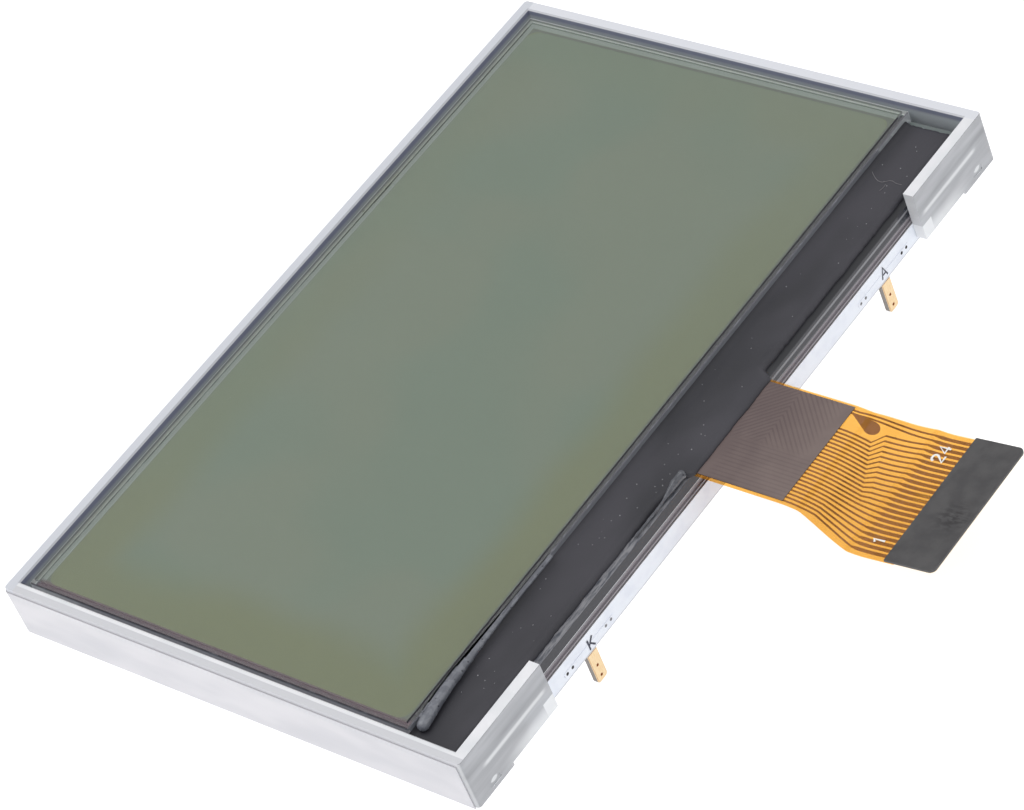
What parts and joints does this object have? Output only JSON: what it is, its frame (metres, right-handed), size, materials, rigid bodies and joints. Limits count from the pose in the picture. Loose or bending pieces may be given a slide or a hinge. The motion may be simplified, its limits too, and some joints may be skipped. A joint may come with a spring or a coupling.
{
  "type": "lcd display",
  "caption": "Small graphic liquid crystal display module in a clear edge-lit tray, with two solder tabs for its backlight and a short amber ribbon tail.",
  "frame": {"origin": "centre of the module's rear face, on the rear reflector film", "axes": "+Z out of the viewing face, +X along the long side towards the anode tab, -Y the side that the ribbon leaves from"},
  "size_m": [0.07, 0.0669, 0.008],
  "materials": {
    "amber_film": "amber polyimide film",
    "black_resin": "black brushed resin",
    "black_tape": "black adhesive tape",
    "bond_film": "conductive bonding film",
    "cell_glass": "float glass",
    "chip_silicon": "bare silicon",
    "clear_acrylic": "clear moulded acrylic, polished faces and a frosted rim",
    "copper_foil": "rolled copper foil",
    "crystal_layer": "yellow-green liquid crystal",
    "gold_plating": "thin gold plating over copper",
    "lower_film": "grey-green polarising film",
    "mask_ink": "dark printed ink",
    "milky_film": "milky diffusing film",
    "phosphor": "yellow phosphor resin",
    "polariser_film": "olive polarising film, satin gloss",
    "port_resin": "clear cured resin",
    "seal_epoxy": "cured epoxy",
    "silicone": "clear grey silicone",
    "solder": "tin solder",
    "stiffener_film": "dark grey stiffener",
    "white_film": "white reflective film",
    "white_laminate": "glass-fibre laminate with a white solder mask",
    "white_resin": "white moulded resin"
  },
  "bodies": {
    "root": {"anode_tab_link": "copper_foil", "anode_tab_plating": "gold_plating", "anode_track": "copper_foil", "bonding_film": "bond_film", "cathode_tab_link": "copper_foil", "cathode_tab_plating": "gold_plating", "cathode_track": "copper_foil", "cell_seal": "seal_epoxy", "contact_fingers": "gold_plating", "diffuser_sheet": "milky_film", "driver_chip": "chip_silicon", "edge_bead": "silicone", "edge_tape": "white_film", "fill_port_plug": "port_resin", "frame_tape": "black_tape", "led_1_housing": "white_resin", "led_1_phosphor": "phosphor", "led_2_housing": "white_resin", "led_2_phosphor": "phosphor", "led_3_housing": "white_resin", "led_3_phosphor": "phosphor", "led_4_housing": "white_resin", "led_4_phosphor": "phosphor", "led_5_housing": "white_resin", "led_5_phosphor": "phosphor", "led_6_housing": "white_resin", "led_6_phosphor": "phosphor", "led_7_housing": "white_resin", "led_7_phosphor": "phosphor", "led_8_housing": "white_resin", "led_8_phosphor": "phosphor", "led_board": "white_laminate", "led_solder": "solder", "led_tape": "black_tape", "ledge_coating": "black_resin", "light_guide_tray": "clear_acrylic", "liquid_crystal": "crystal_layer", "lower_glass": "cell_glass", "lower_polariser": "lower_film", "rear_reflector": "white_film", "ribbon_back_film": "amber_film", "ribbon_base": "amber_film", "ribbon_cover": "amber_film", "ribbon_shield": "copper_foil", "ribbon_stiffener": "stiffener_film", "ribbon_traces": "copper_foil", "root_bead": "silicone", "upper_glass": "cell_glass", "upper_polariser": "polariser_film", "view_mask": "mask_ink"}
  },
  "joints": []
}
